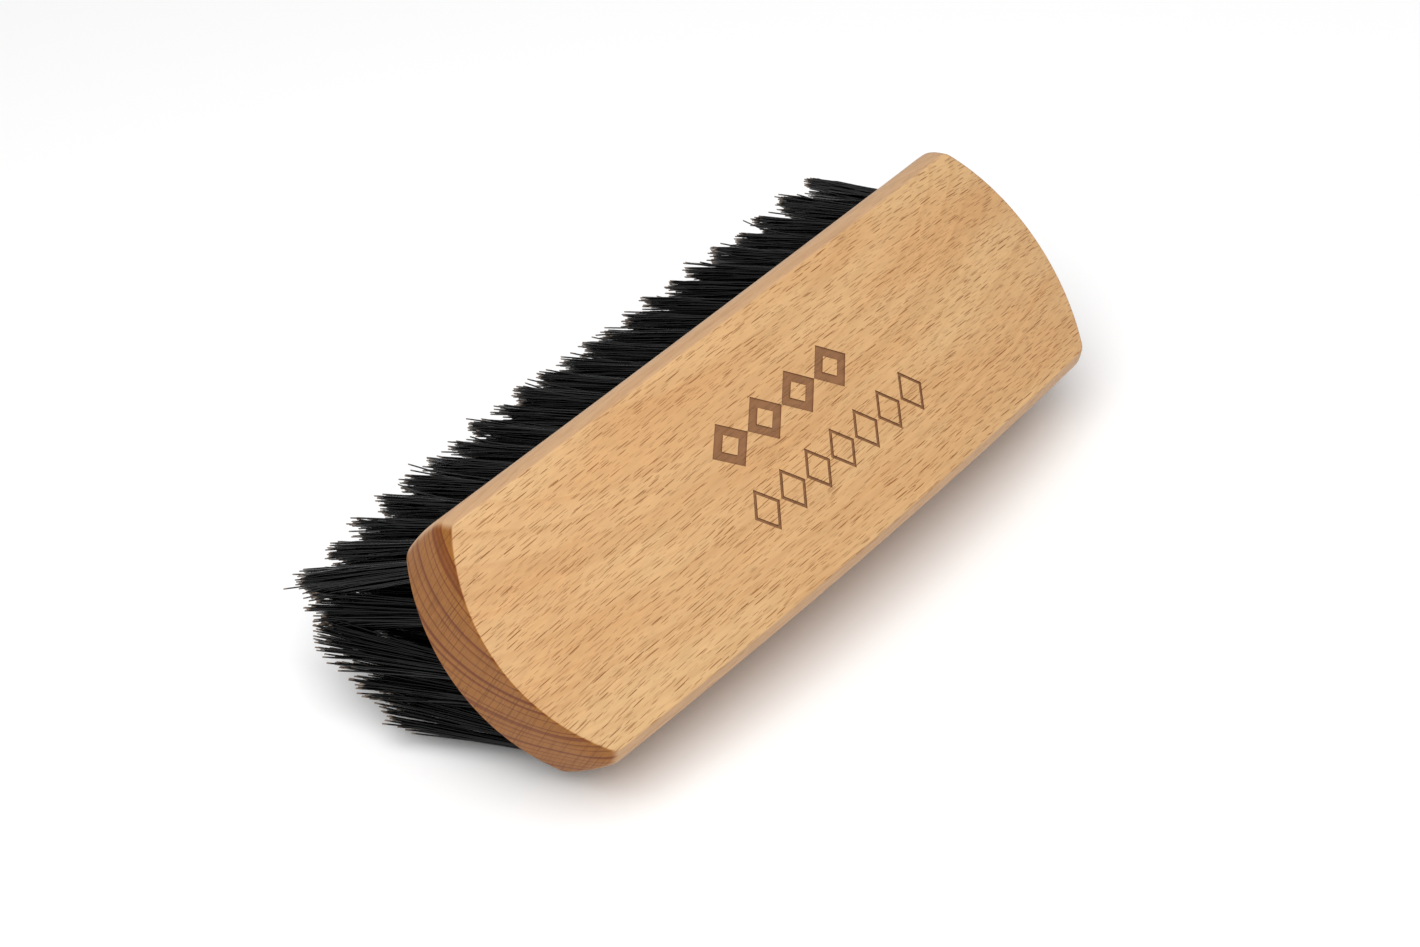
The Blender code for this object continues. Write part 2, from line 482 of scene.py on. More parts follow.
# %% Ray flakes
RAY_SLANT = -0.26
RAY_CELLS = (  # length, width and height of a cell, how thin its flake is, and a shift
    (0.0040, 0.00105, 0.016, 0.11, 0.0),
    (0.0028, 0.00085, 0.012, 0.11, 3.7),
    (0.0300, 0.00075, 0.010, 0.13, 8.1),
)
SECOND_RAYS = 0.7
END_RAYS = 0.75


def ray_flakes(group, parts, to_end):
    across = maths(group, "MULTIPLY_ADD", parts["Z"], RAY_SLANT, parts["Y"])
    flat = add_node(
        group, "ShaderNodeCombineXYZ", {"X": parts["X"], "Y": across, "Z": parts["Z"]}
    ).outputs[0]
    masks = []
    for length, width, height, thin, shift in RAY_CELLS:
        cells = vectors(group, "DIVIDE", flat, (length, width, height))
        cells = vectors(group, "ADD", cells, (shift, shift, shift))
        spots = add_node(group, "ShaderNodeTexVoronoi", {"Vector": cells, "Scale": 1.0}).outputs
        away = vectors(group, "SUBTRACT", cells, spots["Position"])
        away = vectors(group, "DIVIDE", away, (0.5, thin, 0.7))
        luck = add_node(group, "ShaderNodeSeparateXYZ", {0: spots["Color"]}).outputs
        size = maths(group, "MULTIPLY_ADD", luck["X"], 0.7, 0.5)
        far = maths(group, "DIVIDE", vectors(group, "LENGTH", away), size)
        spot = ramp(group, far, 0.72, 1.02, 1.0, 0.0)
        depth = maths(group, "MULTIPLY_ADD", luck["Y"], 0.6, 0.4)
        masks.append(maths(group, "MULTIPLY", spot, depth))
    ray = maths(group, "MAXIMUM", masks[0], maths(group, "MULTIPLY", masks[1], SECOND_RAYS))
    on_ends = maths(group, "MULTIPLY", to_end, END_RAYS)
    return maths(group, "MAXIMUM", ray, maths(group, "MULTIPLY", masks[2], on_ends))


print(len(RAY_CELLS), "sizes of ray")

# %% [markdown]
# ## Fibres and clouds
#
# Under the rays lies the body of the wood: fine fibres along its length, and broad zones that are more
# golden or more pink. Each is a noise that is stretched along the block.

# %% Body of the wood
ZONE_STRETCH = (14.0, 60.0, 60.0)
FIBRE_STRETCH = (55.0, 1600.0, 1600.0)
CLOUD_STRETCH = (160.0, 420.0, 420.0)


def wood_body(group, enter, bent, to_end, to_side):
    """The colour without rings and rays, and the fibre pattern for the bumps."""
    fibre = noise(group, vectors(group, "MULTIPLY", bent, FIBRE_STRETCH))[0]
    zone = noise(group, vectors(group, "MULTIPLY", bent, ZONE_STRETCH))[0]
    cloud = noise(group, vectors(group, "MULTIPLY", bent, CLOUD_STRETCH), detail=2.0)[0]
    body = mix_colours(group, ramp(group, zone, 0.35, 0.68), enter["Face colour"], enter["Warm colour"])
    body = mix_colours(group, to_side, body, enter["Side colour"])
    body = mix_colours(group, to_end, body, enter["End colour"])
    shade = maths(group, "MULTIPLY_ADD", fibre, 0.3, 0.86)
    shade = maths(group, "MULTIPLY", shade, maths(group, "MULTIPLY_ADD", cloud, 0.16, 0.92))
    grey = add_node(group, "ShaderNodeCombineXYZ", {"X": shade, "Y": shade, "Z": shade}).outputs[0]
    return mix_colours(group, 1.0, body, grey, "MULTIPLY"), fibre


print("fibres are", round(FIBRE_STRETCH[1] / FIBRE_STRETCH[0]), "times longer than wide")

# %% [markdown]
# ## The whole figure as one group
#
# The bare wood and the burnt wood both show this figure, so it is a node group with its colours as
# inputs. It works out which way the surface faces, bends space a little so that no line is straight, and
# lays the rings and then the rays over the body.

# %% Beech figure group
FACING_STARTS, FACING_WHOLE = 0.35, 0.75
WANDER_SCALE = 28.0
WANDER_REACH = (0.0, 0.0022, 0.0022)
LATE_WOOD = colour(190, 142, 70)
RAY_ON_END = colour(104, 60, 26)
FIGURE_INPUTS = (
    ("Place", "NodeSocketVector", None),
    ("Facing", "NodeSocketVector", None),
    ("Face colour", "NodeSocketColor", colour(206, 167, 119)),
    ("Warm colour", "NodeSocketColor", colour(200, 155, 106)),
    ("End colour", "NodeSocketColor", colour(150, 95, 36)),
    ("Side colour", "NodeSocketColor", colour(190, 152, 114)),
    ("Ray colour", "NodeSocketColor", colour(136, 84, 42)),
    ("Ray strength", "NodeSocketFloat", 0.95),
    ("Ring strength", "NodeSocketFloat", 1.0),
)
FIGURE_OUTPUTS = (("Color", "NodeSocketColor"), ("Height", "NodeSocketFloat"), ("Ray", "NodeSocketFloat"))


def beech_group():
    group = bpy.data.node_groups.new("beech_figure", "ShaderNodeTree")
    for name, kind, start in FIGURE_INPUTS:
        socket = group.interface.new_socket(name, in_out="INPUT", socket_type=kind)
        if start is not None:
            socket.default_value = start
    for name, kind in FIGURE_OUTPUTS:
        group.interface.new_socket(name, in_out="OUTPUT", socket_type=kind)
    enter = add_node(group, "NodeGroupInput").outputs

    facing = add_node(group, "ShaderNodeSeparateXYZ", {0: enter["Facing"]}).outputs
    to_end = ramp(group, maths(group, "ABSOLUTE", facing["X"]), FACING_STARTS, FACING_WHOLE)
    to_side = ramp(group, maths(group, "ABSOLUTE", facing["Y"]), FACING_STARTS, FACING_WHOLE)

    wander = noise(group, enter["Place"], WANDER_SCALE, 2.0)[1]
    shifted = vectors(group, "SUBTRACT", wander, (0.5, 0.5, 0.5))
    bent = vectors(group, "MULTIPLY_ADD", shifted, WANDER_REACH, enter["Place"])
    parts = add_node(group, "ShaderNodeSeparateXYZ", {0: bent}).outputs
    ring = growth_rings(group, parts)
    ray = ray_flakes(group, parts, to_end)
    body, fibre = wood_body(group, enter, bent, to_end, to_side)

    # rings show on the ends, and hardly anywhere else
    dark_ring = mix_colours(group, 1.0, body, LATE_WOOD, "MULTIPLY")
    ring_share = maths(group, "MULTIPLY_ADD", to_end, 0.84, 0.13)
    ring_share = maths(group, "MULTIPLY", ring_share, maths(group, "MULTIPLY", ring, enter["Ring strength"]))
    body = mix_colours(group, ring_share, body, dark_ring)

    # rays are dark dashes on top, softer brown lines on the ends, and almost lost on the sides
    on_end = mix_colours(group, to_end, enter["Ray colour"], mix_colours(group, 0.8, body, RAY_ON_END))
    plain = maths(group, "SUBTRACT", 1.0, maths(group, "MULTIPLY", to_side, 0.8))
    ray_share = maths(group, "MULTIPLY", ray, maths(group, "MULTIPLY", plain, enter["Ray strength"]))
    body = mix_colours(group, ray_share, body, on_end)

    height = maths(group, "MULTIPLY_ADD", ray, -0.6, maths(group, "MULTIPLY", fibre, 0.5))
    add_node(group, "NodeGroupOutput", {"Color": body, "Height": height, "Ray": ray})
    return group


beech = beech_group()
print("beech figure:", len(beech.nodes), "nodes")

# %% [markdown]
# ## Bare wood and burnt wood
#
# The block has the soft sheen of sanded and waxed wood, with no hard reflections. The burnt wood keeps
# the same figure under a brown char, and it is duller.

# %% Wood materials
BUMP_HEIGHT = 0.0002
CHAR_STRETCH = (260.0, 900.0, 900.0)
CHAR_SHARE = 0.86
RAY_GLOSS = 0.12      # how much rougher a ray is than the wood beside it


def wood_material(name, group_values, rough, bump, coat, char_colours=None):
    material = bpy.data.materials.new(name)
    material.use_nodes = True
    tree = material.node_tree
    shader = tree.nodes["Principled BSDF"]
    spot = add_node(tree, "ShaderNodeTexCoord").outputs
    figure = add_node(tree, "ShaderNodeGroup", node_tree=beech)
    tree.links.new(spot["Object"], figure.inputs["Place"])
    tree.links.new(spot["Normal"], figure.inputs["Facing"])
    for key, value in group_values.items():
        figure.inputs[key].default_value = value
    heights = {"Strength": bump, "Distance": BUMP_HEIGHT, "Height": figure.outputs["Height"]}
    bumped = add_node(tree, "ShaderNodeBump", heights)
    tree.links.new(bumped.outputs["Normal"], shader.inputs["Normal"])
    final = figure.outputs["Color"]
    if char_colours is not None:
        char = noise(tree, vectors(tree, "MULTIPLY", spot["Object"], CHAR_STRETCH))[0]
        final = mix_colours(tree, CHAR_SHARE, final, mix_colours(tree, char, *char_colours))
    tree.links.new(final, shader.inputs["Base Color"])
    gloss = maths(tree, "MULTIPLY_ADD", figure.outputs["Ray"], RAY_GLOSS, rough)
    tree.links.new(gloss, shader.inputs["Roughness"])
    shader.inputs["Specular IOR Level"].default_value = 0.2
    shader.inputs["Coat Weight"].default_value = coat
    shader.inputs["Coat Roughness"].default_value = 0.35
    return material


waxed_beech = wood_material("waxed_beech", {}, rough=0.5, bump=0.5, coat=0.03)
burnt_beech = wood_material(
    "burnt_beech",
    {"Ray strength": 0.5},
    rough=0.75,
    bump=0.7,
    coat=0.0,
    char_colours=(colour(96, 60, 38), colour(146, 100, 68)),
)
print("materials:", waxed_beech.name, "and", burnt_beech.name)

# %% [markdown]
# ## Cutting the block
#
# Both Booleans are applied at once by asking for the evaluated object, which leaves a plain mesh with
# two materials: the bare wood, and the burnt wood inside the border.

# %% Finished block
SHARP_ANGLE = math.radians(28)


def applied(piece):
    """A copy of the piece with its modifiers turned into plain geometry, in place of the piece."""
    graph = bpy.context.evaluated_depsgraph_get()
    graph.update()
    mesh = bpy.data.meshes.new_from_object(piece.evaluated_get(graph), depsgraph=graph)
    piece.modifiers.clear()
    piece.data = mesh
    return piece


wood_block = new_piece("wood_block", block_mesh, waxed_beech)
cutters = [
    new_piece("drillings", drill_mesh, waxed_beech),
    new_piece("border_cutter", border_mesh, burnt_beech),
]
for cutter in cutters:
    boolean = wood_block.modifiers.new(cutter.name, "BOOLEAN")
    boolean.object = cutter
    boolean.operation = "DIFFERENCE"
    boolean.solver = "EXACT"
    boolean.material_mode = "TRANSFER"
applied(wood_block)
for cutter in cutters:
    bpy.data.objects.remove(cutter)
wood_block.data.shade_smooth()
wood_block.data.set_sharp_from_angle(angle=SHARP_ANGLE)
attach(wood_block, "root")
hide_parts("handle_block")
print("wood block:", len(wood_block.data.polygons), "faces,", [m.name for m in wood_block.data.materials])

# %% [markdown]
# ## How the bundles lean
#
# A brush that stands free has its outer bundles splayed outwards. This one lies on its right-hand
# bristles, so all of them are pushed over to the left, the right-hand row the most. Near the two ends they
# fan out along the block too. The last few at the near end are pushed further out, the right-hand ones the
# most, levelled so that the five rows end in one line, and pinched together across the block. Each place
# becomes one vertex that carries its lean, for the Geometry Nodes to read.

# %% Bundle guide points
LEAN_RIGHT = math.radians(39.0)
LEAN_LEFT = math.radians(22.0)
LEAN_ALONG = math.radians(-5.0)
LEAN_FAR_END = math.radians(15.0)
LEAN_NEAR_END = math.radians(5.0)
LEAN_PRESSED = math.radians(18.0)
LEAN_LEVELLED = math.radians(7.3)
LEFT_UNPRESSED = 0.8     # how much of the pressing the left-hand row escapes
PINCH_RIGHT = math.radians(5.5)
PINCH_LEFT = math.radians(-4.5)
FREE_LENGTH = 0.038
LONGEST_REACH = max(x for row in rows for x, _ in row)


def guide_mesh(name, row):
    mesh = bpy.data.meshes.new(name)
    mesh.from_pydata([(x, y, BLOCK_BOTTOM) for x, y in row], [], [])
    lean = mesh.attributes.new("lean", "FLOAT_VECTOR", "POINT")
    reach = max(x for x, _ in row)
    for k, (x, y) in enumerate(row):
        side = (y + ROW_REACH) / (2 * ROW_REACH)
        to_end = x / reach
        near = max(0.0, -to_end) ** 8
        fan = LEAN_FAR_END if x > 0 else LEAN_NEAR_END
        pressed = LEAN_PRESSED * near * (1 - LEFT_UNPRESSED * side)
        levelled = near * (LEAN_LEVELLED - (LONGEST_REACH - reach) / FREE_LENGTH)
        pinch = math.sqrt(near) * (PINCH_RIGHT + (PINCH_LEFT - PINCH_RIGHT) * side)
        lean.data[k].vector = (
            math.tan(LEAN_ALONG + fan * to_end**3 - pressed + levelled),
            math.tan(LEAN_RIGHT + (LEAN_LEFT - LEAN_RIGHT) * side + pinch),
            -1.0,
        )
    return mesh


print("lean from right to left:", math.degrees(LEAN_RIGHT), "to", math.degrees(LEAN_LEFT), "degrees")

# %% [markdown]
# ## Chance and memory in Geometry Nodes
#
# A bundle is a hundred and more fibres, doubled over its anchor, and no two are alike. One helper draws a
# random number for each fibre: every use has its own draw, so its seed stays the same from run to run. Two
# more write a value onto the geometry and read it back later, once there are more points to carry it.

# %% Chance and attributes
DRAWS = {"lean": 1, "angle": 2, "distance": 3, "phase": 4, "wild": 5, "stray": 6, "trim": 8, "tone": 9}


def live(sockets, name=None):
    """The first socket in use, or the first one in use with this name."""
    return [s for s in sockets if s.enabled and name in (None, s.name)][0]


def chance(tree, enter, draw, low, high, kind="FLOAT"):
    made = add_node(tree, "FunctionNodeRandomValue", data_type=kind)
    least, most = [s for s in made.inputs if s.enabled][:2]
    least.default_value, most.default_value = low, high
    seed = maths(tree, "ADD", enter["Seed"], float(DRAWS[draw]))
    tree.links.new(seed, live(made.inputs, "Seed"))
    return live(made.outputs)


def store(tree, geometry, name, value, kind="FLOAT"):
    made = add_node(tree, "GeometryNodeStoreNamedAttribute", data_type=kind, domain="POINT")
    made.inputs["Name"].default_value = name
    tree.links.new(geometry, made.inputs["Geometry"])
    tree.links.new(value, live(made.inputs, "Value"))
    return made.outputs["Geometry"]


def stored(tree, name, kind="FLOAT"):
    made = add_node(tree, "GeometryNodeInputNamedAttribute", data_type=kind)
    made.inputs["Name"].default_value = name
    return live(made.outputs)


print(len(DRAWS), "random draws for each strand or bundle")

# %% [markdown]
# ## One point for every strand
#
# The guide points are copied once for each strand. Before that, every bundle gets a small lean of its own.
# After it, every copy gets its place in the round bundle, and its own share of the waves, the strays, the
# trimming and the shade of black. A bundle is a little wider across the block than along it.

# %% Strand points
LEAN_SPREAD = (0.6, 1, 0)
OVAL_ALONG, OVAL_ACROSS = 0.82, 1.18
PHASE_SPREAD = (50, 50, 50)
TRIM_SHORTEST, TRIM_LONGEST = -1.0, 0.6


def opposite(spread):
    return tuple(-part for part in spread)


def strand_copies(tree, enter):
    here = add_node(tree, "GeometryNodeInputPosition").outputs[0]
    points = add_node(tree, "GeometryNodeMeshToPoints", {"Mesh": enter["Geometry"]}).outputs[0]
    twist = chance(tree, enter, "lean", opposite(LEAN_SPREAD), LEAN_SPREAD, "FLOAT_VECTOR")
    twist = vectors(tree, "SCALE", twist, scale=enter["Bundle unevenness"])
    lean = vectors(tree, "ADD", stored(tree, "lean", "FLOAT_VECTOR"), twist)
    points = store(tree, points, "lean", lean, "FLOAT_VECTOR")
    points = store(tree, points, "root", here, "FLOAT_VECTOR")
    amounts = {"Geometry": points, "Amount": enter["Strands per bundle"]}
    copies = add_node(tree, "GeometryNodeDuplicateElements", amounts, domain="POINT").outputs["Geometry"]

    angle = chance(tree, enter, "angle", 0.0, 2 * math.pi)
    out = maths(tree, "SQRT", chance(tree, enter, "distance", 0.0, 1.0))
    forward = maths(tree, "MULTIPLY", out, maths(tree, "COSINE", angle))
    sideways = maths(tree, "MULTIPLY", out, maths(tree, "SINE", angle))
    oval = {
        "X": maths(tree, "MULTIPLY", forward, OVAL_ALONG),
        "Y": maths(tree, "MULTIPLY", sideways, OVAL_ACROSS),
    }
    disc = add_node(tree, "ShaderNodeCombineXYZ", oval).outputs[0]
    copies = store(tree, copies, "disc", disc, "FLOAT_VECTOR")
    phase = chance(tree, enter, "phase", opposite(PHASE_SPREAD), PHASE_SPREAD, "FLOAT_VECTOR")
    copies = store(tree, copies, "phase", phase, "FLOAT_VECTOR")
    wild = maths(tree, "LESS_THAN", chance(tree, enter, "wild", 0.0, 1.0), enter["Stray share"])
    stray = chance(tree, enter, "stray", (-1, -1, -0.2), (1, 1, 1), "FLOAT_VECTOR")
    copies = store(tree, copies, "stray", vectors(tree, "SCALE", stray, scale=wild), "FLOAT_VECTOR")
    copies = store(tree, copies, "trim", chance(tree, enter, "trim", TRIM_SHORTEST, TRIM_LONGEST))
    return store(tree, copies, "tone", chance(tree, enter, "tone", 0.0, 1.0))


print("a bundle is", round(OVAL_ACROSS / OVAL_ALONG, 2), "times as wide as it is long")

# %% [markdown]
# ## The line that a strand follows
#
# A strand starts inside its hole, upright, and leaves it along the lean of its bundle. Further out it
# moves away from the middle of the bundle, waves a little, and, if it is a stray, wanders off. All of that
# depends on t, which runs from 0 at the hidden end to 1 at the tip.

# %% Strand line
OPENING_POWER = 1.3
WAVE_TURNS = 1.9
STRAY_POWER = 2.5
STRAY_REACH = 0.0028


def strand_spine(tree, enter, t):
    def added(place, direction, amount):
        return vectors(tree, "ADD", place, vectors(tree, "SCALE", direction, scale=amount))

    whole = maths(tree, "ADD", enter["Free length"], enter["Hidden length"])
    reach = maths(tree, "SUBTRACT", maths(tree, "MULTIPLY", t, whole), enter["Hidden length"])
    outside = maths(tree, "MAXIMUM", reach, 0.0)
    inside = maths(tree, "MAXIMUM", maths(tree, "MULTIPLY", reach, -1.0), 0.0)
    cut = maths(tree, "MULTIPLY_ADD", stored(tree, "trim"), enter["Trim unevenness"], 1.0)
    heading = vectors(tree, "NORMALIZE", stored(tree, "lean", "FLOAT_VECTOR"))
    spine = added(stored(tree, "root", "FLOAT_VECTOR"), heading, maths(tree, "MULTIPLY", outside, cut))
    spine = added(spine, (0, 0, 1), inside)

    at_hole, at_tips = enter["Bundle radius at the hole"], enter["Bundle radius at the tips"]
    grown = maths(tree, "POWER", t, OPENING_POWER)
    wide = maths(tree, "MULTIPLY_ADD", grown, maths(tree, "SUBTRACT", at_tips, at_hole), at_hole)
    spine = added(spine, stored(tree, "disc", "FLOAT_VECTOR"), wide)

    sample = added(stored(tree, "phase", "FLOAT_VECTOR"), (WAVE_TURNS, 0.0, 0.0), t)
    ripple = vectors(tree, "SUBTRACT", noise(tree, sample, detail=1.0)[1], (0.5, 0.5, 0.5))
    spine = added(spine, ripple, maths(tree, "MULTIPLY", enter["Waviness"], maths(tree, "MULTIPLY", t, 2.0)))
    wildness = maths(tree, "MULTIPLY", maths(tree, "POWER", t, STRAY_POWER), STRAY_REACH)
    return added(spine, stored(tree, "stray", "FLOAT_VECTOR"), wildness)


print("a stray strand ends up to", STRAY_REACH * 1000, "mm off its line, in each direction")

# %% [markdown]
# ## The whole strand tree
#
# The tree puts a short straight line on every copy, moves each of its points to the strand's own line, and
# draws a thin tube along it that tapers at the tip. Three sides are enough for a tube this thin. Its main
# sizes are named inputs.

# %% Strand tree
STRAND_POINTS = 7
STRAND_SIDES = 3
TIP_TAPER, TAPER_POWER = -0.15, 4.0
STRAND_INPUTS = (
    ("Geometry", "NodeSocketGeometry", None),
    ("Strands per bundle", "NodeSocketInt", 110),
    ("Strand radius", "NodeSocketFloat", 0.00023),
    ("Bundle radius at the hole", "NodeSocketFloat", 0.0018),
    ("Bundle radius at the tips", "NodeSocketFloat", 0.0052),
    ("Free length", "NodeSocketFloat", FREE_LENGTH),
    ("Hidden length", "NodeSocketFloat", 0.007),
    ("Trim unevenness", "NodeSocketFloat", 0.05),
    ("Waviness", "NodeSocketFloat", 0.0014),
    ("Bundle unevenness", "NodeSocketFloat", 0.05),
    ("Stray share", "NodeSocketFloat", 0.06),
    ("Seed", "NodeSocketInt", 7),
    ("Material", "NodeSocketMaterial", None),
)


def strand_tree():
    tree = bpy.data.node_groups.new("bristle_bundles", "GeometryNodeTree")
    for name, kind, start in STRAND_INPUTS:
        socket = tree.interface.new_socket(name, in_out="INPUT", socket_type=kind)
        if start is not None:
            socket.default_value = start
    tree.interface.new_socket("Geometry", in_out="OUTPUT", socket_type="NodeSocketGeometry")
    enter = add_node(tree, "NodeGroupInput").outputs

    ends = {"Start": (0, 0, 0), "End": (0, 0, 0.01)}
    line = add_node(tree, "GeometryNodeCurvePrimitiveLine", ends).outputs[0]
    line = add_node(tree, "GeometryNodeResampleCurve", {"Curve": line, "Count": STRAND_POINTS}).outputs[0]
    lines = {"Points": strand_copies(tree, enter), "Instance": line}
    lines = add_node(tree, "GeometryNodeInstanceOnPoints", lines).outputs[0]
    lines = add_node(tree, "GeometryNodeRealizeInstances", {"Geometry": lines}).outputs[0]
    along = add_node(tree, "GeometryNodeSplineParameter").outputs["Factor"]
    lines = store(tree, lines, "along", along)
    t = stored(tree, "along")
    moved = {"Geometry": lines, "Position": strand_spine(tree, enter, t)}
    lines = add_node(tree, "GeometryNodeSetPosition", moved).outputs[0]

    taper = maths(tree, "MULTIPLY_ADD", maths(tree, "POWER", t, TAPER_POWER), TIP_TAPER, 1.0)
    thick = maths(tree, "MULTIPLY", taper, enter["Strand radius"])
    round_profile = {"Resolution": STRAND_SIDES, "Radius": 1.0}
    ring = add_node(tree, "GeometryNodeCurvePrimitiveCircle", round_profile).outputs[0]
    tubes = {"Curve": lines, "Profile Curve": ring, "Scale": thick, "Fill Caps": True}
    tubes = add_node(tree, "GeometryNodeCurveToMesh", tubes).outputs[0]
    tubes = add_node(tree, "GeometryNodeRealizeInstances", {"Geometry": tubes}).outputs[0]
    finish = {"Geometry": tubes, "Material": enter["Material"]}
    tubes = add_node(tree, "GeometryNodeSetMaterial", finish).outputs[0]
    add_node(tree, "NodeGroupOutput", {"Geometry": tubes})
    return tree


def set_input(modifier, name, value):
    for item in modifier.node_group.interface.items_tree:
        if item.item_type == "SOCKET" and item.in_out == "INPUT" and item.name == name:
            modifier[item.identifier] = value


bristle_tree = strand_tree()
print("strand tree:", len(bristle_tree.nodes), "nodes")

# %% [markdown]
# ## Black fibre
#
# The fibre is black all through, each strand a little lighter or darker than the next, with a slight cool
# shine along its length. Its cut tips are paler and brownish.

# %% Bristle material
BLACKEST, LEAST_BLACK = colour(1, 1, 2), colour(8, 8, 9)
CUT_TIP = colour(140, 122, 106)
TIP_STARTS, TIP_WHOLE, TIP_SHARE = 0.965, 0.99, 0.75


def bristle_material():
    material = bpy.data.materials.new("black_fibre")
    material.use_nodes = True
    tree = material.node_tree
    shader = tree.nodes["Principled BSDF"]
    along = add_node(tree, "ShaderNodeAttribute", attribute_name="along").outputs["Fac"]
    tone = add_node(tree, "ShaderNodeAttribute", attribute_name="tone").outputs["Fac"]
    spot = add_node(tree, "ShaderNodeTexCoord").outputs["Object"]
    patch = noise(tree, spot, 900.0, 1.0)[0]
    mixed = maths(tree, "MULTIPLY_ADD", tone, 0.75, maths(tree, "MULTIPLY", patch, 0.25))
    body = mix_colours(tree, mixed, BLACKEST, LEAST_BLACK)
    at_tip = ramp(tree, along, TIP_STARTS, TIP_WHOLE, 0.0, TIP_SHARE)
    body = mix_colours(tree, at_tip, body, CUT_TIP)
    tree.links.new(body, shader.inputs["Base Color"])
    gloss = maths(tree, "MULTIPLY_ADD", mixed, 0.14, 0.17)
    tree.links.new(gloss, shader.inputs["Roughness"])
    shader.inputs["Specular IOR Level"].default_value = 0.32
    return material


black_fibre = bristle_material()
print("bristle material:", black_fibre.name)

# %% [markdown]
# ## Growing the five rows
#
# One object for each row keeps every piece light enough to handle. Each gets the modifier, its inputs
# by their identifiers, and is then turned into a plain mesh that stands for the solids of its row. The
# bundles of the two left-hand rows are kept tighter and more even, because they are seen one by one.

# %% Bristle rows
OUTER_ROWS = {0: "tuft_right", ROWS - 1: "tuft_left"}
TIP_RADII = (0.0052, 0.0052, 0.0052, 0.0042, 0.0031)  # row by row, from right to left
UNEVENNESS = (0.05, 0.05, 0.05, 0.035, 0.02)
FIRST_SEED, SEED_STEP = 11, 10


def node_names(row):
    """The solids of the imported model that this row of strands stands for."""
    if row in OUTER_ROWS:
        return [f"{OUTER_ROWS[row]}_{k:02d}" for k in range(1, BUNDLES_IN_ROW + 1)]
    return [f"tuft_row_{row + 1}"]


bristle_rows = []
for number, row in enumerate(rows):
    name = f"bristle_row_{number + 1}"
    piece = new_piece(name, guide_mesh(name, row))
    modifier = piece.modifiers.new("bundles", "NODES")
    modifier.node_group = bristle_tree
    set_input(modifier, "Seed", FIRST_SEED + SEED_STEP * number)
    set_input(modifier, "Bundle radius at the tips", TIP_RADII[number])
    set_input(modifier, "Bundle unevenness", UNEVENNESS[number])
    set_input(modifier, "Material", black_fibre)
    applied(piece)
    piece.data.shade_smooth()
    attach(piece, "root")
    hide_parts(*node_names(number))
    bristle_rows.append(piece)
    print(name, "has", len(piece.data.polygons), "faces")

# %% [markdown]
# ## The anchors
#
# A short flat piece of wire is punched across the fold of each bundle and bites into the wood on both
# sides of the hole. Nobody sees it in a whole brush, but it is what holds the fibres.

# %% Anchor tree and anchors
ANCHOR_SIZE = (0.0052, 0.0004, 0.0016)
ANCHOR_UP = HOLE_DEPTH - 0.0012
ANCHOR_INPUTS = (
    ("Geometry", "Geometry"),
    ("Anchor size", "Vector"),
    ("Height", "Float"),
    ("Material", "Material"),
)


def anchor_tree():
    tree = bpy.data.node_groups.new("anchor_wires", "GeometryNodeTree")
    for name, kind in ANCHOR_INPUTS:
        tree.interface.new_socket(name, in_out="INPUT", socket_type="NodeSocket" + kind)
    tree.interface.new_socket("Geometry", in_out="OUTPUT", socket_type="NodeSocketGeometry")
    enter = add_node(tree, "NodeGroupInput").outputs
    wire = add_node(tree, "GeometryNodeMeshCube", {"Size": enter["Anchor size"]}).outputs[0]
    lift = add_node(tree, "ShaderNodeCombineXYZ", {"Z": enter["Height"]}).outputs[0]
    lifted = {"Geometry": enter["Geometry"], "Offset": lift}
    points = add_node(tree, "GeometryNodeSetPosition", lifted).outputs[0]
    wires = add_node(tree, "GeometryNodeInstanceOnPoints", {"Points": points, "Instance": wire}).outputs[0]
    wires = add_node(tree, "GeometryNodeRealizeInstances", {"Geometry": wires}).outputs[0]
    finish = {"Geometry": wires, "Material": enter["Material"]}
    wires = add_node(tree, "GeometryNodeSetMaterial", finish).outputs[0]
    add_node(tree, "NodeGroupOutput", {"Geometry": wires})
    return tree


def wire_material():
    material = bpy.data.materials.new("anchor_wire")
    material.use_nodes = True
    tree = material.node_tree
    shader = tree.nodes["Principled BSDF"]
    spot = add_node(tree, "ShaderNodeTexCoord").outputs["Object"]
    scuff = noise(tree, spot, 1500.0, 2.0)[0]
    steel = mix_colours(tree, scuff, colour(150, 150, 152), colour(196, 196, 198))
    tree.links.new(steel, shader.inputs["Base Color"])
    tree.links.new(maths(tree, "MULTIPLY_ADD", scuff, 0.3, 0.25), shader.inputs["Roughness"])
    shader.inputs["Metallic"].default_value = 1.0
    return material


every_place = [place for row in rows for place in row]
anchors = new_piece("anchor_wires", guide_mesh("anchor_wires", every_place))
modifier = anchors.modifiers.new("wires", "NODES")
modifier.node_group = anchor_tree()
set_input(modifier, "Anchor size", ANCHOR_SIZE)
set_input(modifier, "Height", ANCHOR_UP)
set_input(modifier, "Material", wire_material())
applied(anchors)
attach(anchors, "root")
print("anchors:", len(anchors.data.polygons) // 6)

# %% [markdown]
# ## The floor
#
# The brush lies on a white studio floor, tipped over onto its right-hand bristles and lower edge. In
# this scene the brush stays square to the axes and the floor is tipped instead. It is seen from its upper
# side only, so that it never hides the brush, and it fades out away from it.

# %% Floor
FLOOR_UP = Vector((0.0, 0.72, 0.69)).normalized()
FLOOR_HALF = 0.6
FADE_STARTS = 0.35


